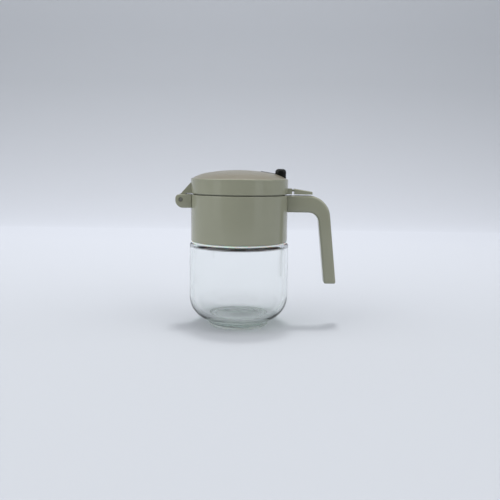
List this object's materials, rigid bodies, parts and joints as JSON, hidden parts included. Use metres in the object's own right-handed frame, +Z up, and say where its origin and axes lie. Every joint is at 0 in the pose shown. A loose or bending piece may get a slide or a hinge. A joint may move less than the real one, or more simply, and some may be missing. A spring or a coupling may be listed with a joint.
{
  "type": "spice jar",
  "caption": "Clear glass seasoning jar with a small foot, held in a plastic collar with a side handle, under a hinged domed lid with a knob and a thumb tab.",
  "frame": {"origin": "middle of the jar's underside, on the surface it stands on", "axes": "+Z up, +X towards the handle, the lid's hinge on the -X side with its pin along Y"},
  "size_m": [0.1293, 0.08, 0.1264],
  "materials": {
    "clear_glass": "clear, polished",
    "grey_plastic": "gloss, warm grey",
    "black_plastic": "gloss, black",
    "silicone": "pale, translucent",
    "steel": "plain"
  },
  "bodies": {
    "jar": {"glass_jar": "clear_glass", "seal_ring": "silicone", "collar": "grey_plastic", "hinge_pin": "steel"},
    "lid": {"lid": "grey_plastic", "knob": "black_plastic"}
  },
  "joints": [
    {"name": "lid_hinge", "type": "hinge", "parent": "jar", "child": "lid", "pos_m": [-0.04615, 0, 0.1015], "axis": [0, -1, 0], "range_deg": [0, 110]}
  ]
}
